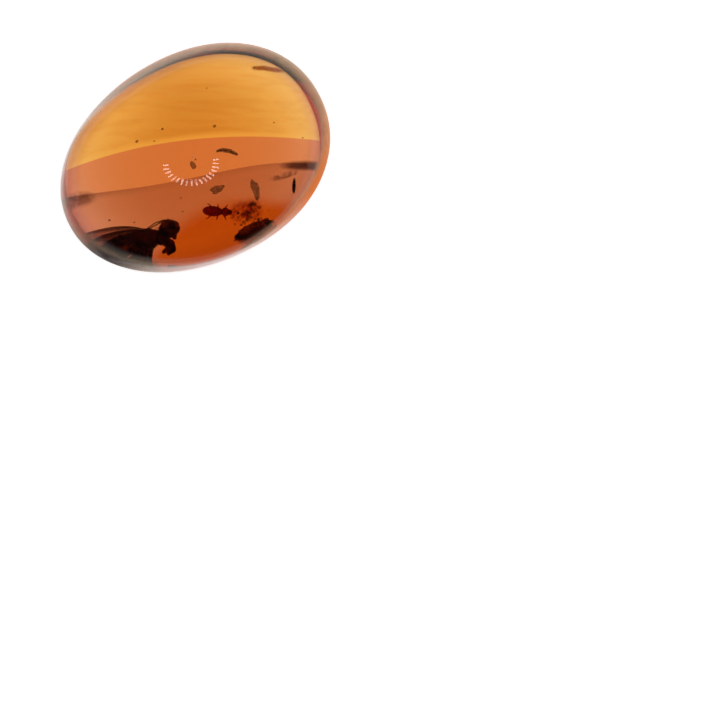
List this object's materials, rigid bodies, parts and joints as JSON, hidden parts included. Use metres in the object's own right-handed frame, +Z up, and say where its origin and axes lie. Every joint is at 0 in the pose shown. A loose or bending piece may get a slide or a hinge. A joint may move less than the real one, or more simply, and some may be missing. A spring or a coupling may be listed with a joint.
{
  "type": "insect in amber",
  "caption": "Oval polished amber cabochon with a low dome and a gently rounded underside, holding a small dark winged insect, a beetle and plant debris.",
  "frame": {"origin": "middle of the flat patch of the underside, under the middle of the stone's box", "axes": "+X along the stone's length, +Y across it towards the yellow side, +Z up through the dome"},
  "size_m": [0.0158, 0.0116, 0.0049],
  "materials": {
    "amber": "polished",
    "chitin": "satin",
    "wing_case": "gloss",
    "bark": "matte",
    "dust": "matte",
    "fibre": "matte"
  },
  "bodies": {
    "root": {"amber_upper": "amber", "amber_lower": "amber", "insect": "chitin", "beetle": "wing_case", "bark_crumb": "bark", "flake_middle": "dust", "flake_right": "dust", "thread_bent": "fibre", "thread_short": "fibre"}
  },
  "joints": []
}
